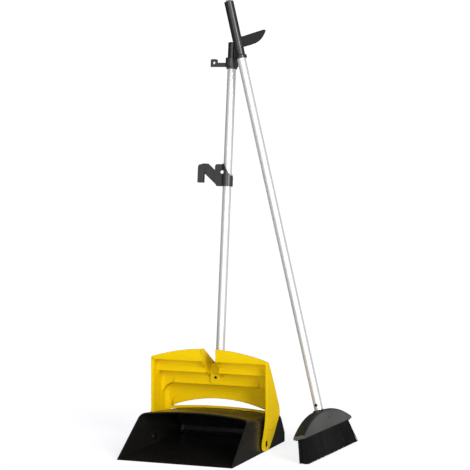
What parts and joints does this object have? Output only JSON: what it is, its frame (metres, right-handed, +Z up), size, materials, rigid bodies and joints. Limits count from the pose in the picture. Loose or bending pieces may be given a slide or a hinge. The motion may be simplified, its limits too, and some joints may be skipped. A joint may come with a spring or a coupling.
{
  "type": "dust pan and brush set",
  "caption": "Upright lobby dust pan: a roofed black scoop pivoting under a yellow hood on a tall tube handle, with a long-handled brush leaning beside it.",
  "frame": {"origin": "on the floor, under the middle of the pan's flat underside", "axes": "+Z up, -Y towards the lip of the pan, +X to the right seen from the lip, where the brush stands"},
  "size_m": [0.4458, 0.4143, 1.0466],
  "materials": {
    "pan_black": "moulded plastic, semi-gloss",
    "hood_yellow": "moulded plastic, satin",
    "tube_aluminium": "satin anodised",
    "grip_black": "soft black plastic",
    "clip_black": "moulded plastic, satin",
    "head_grey": "moulded plastic, satin",
    "bristle_black": "cut synthetic bristle",
    "dark_metal": "blackened steel",
    "eye_grey": "natural plastic"
  },
  "bodies": {
    "pan": {"pan_body": "pan_black", "pivot_pins": "dark_metal"},
    "handle": {"hood": "hood_yellow", "socket_screw": "dark_metal", "handle_tube": "tube_aluminium", "handle_grip": "grip_black", "upper_holder": "clip_black", "holder_screw": "dark_metal", "mid_clip": "clip_black"},
    "brush": {"brush_head": "head_grey", "bristle_block": "grip_black", "bristles": "bristle_black", "brush_tube": "tube_aluminium", "brush_rivet": "dark_metal", "brush_grip": "grip_black", "hang_eye": "eye_grey"}
  },
  "joints": [
    {"name": "hood_swing", "type": "hinge", "parent": "pan", "child": "handle", "pos_m": [0, 0.03, 0.02], "axis": [1, 0, 0], "range_deg": [0, 90]},
    {"name": "brush_lift", "type": "slide", "parent": "pan", "child": "brush", "axis": [0, 0, 1], "range_m": [0, 0.3]}
  ]
}
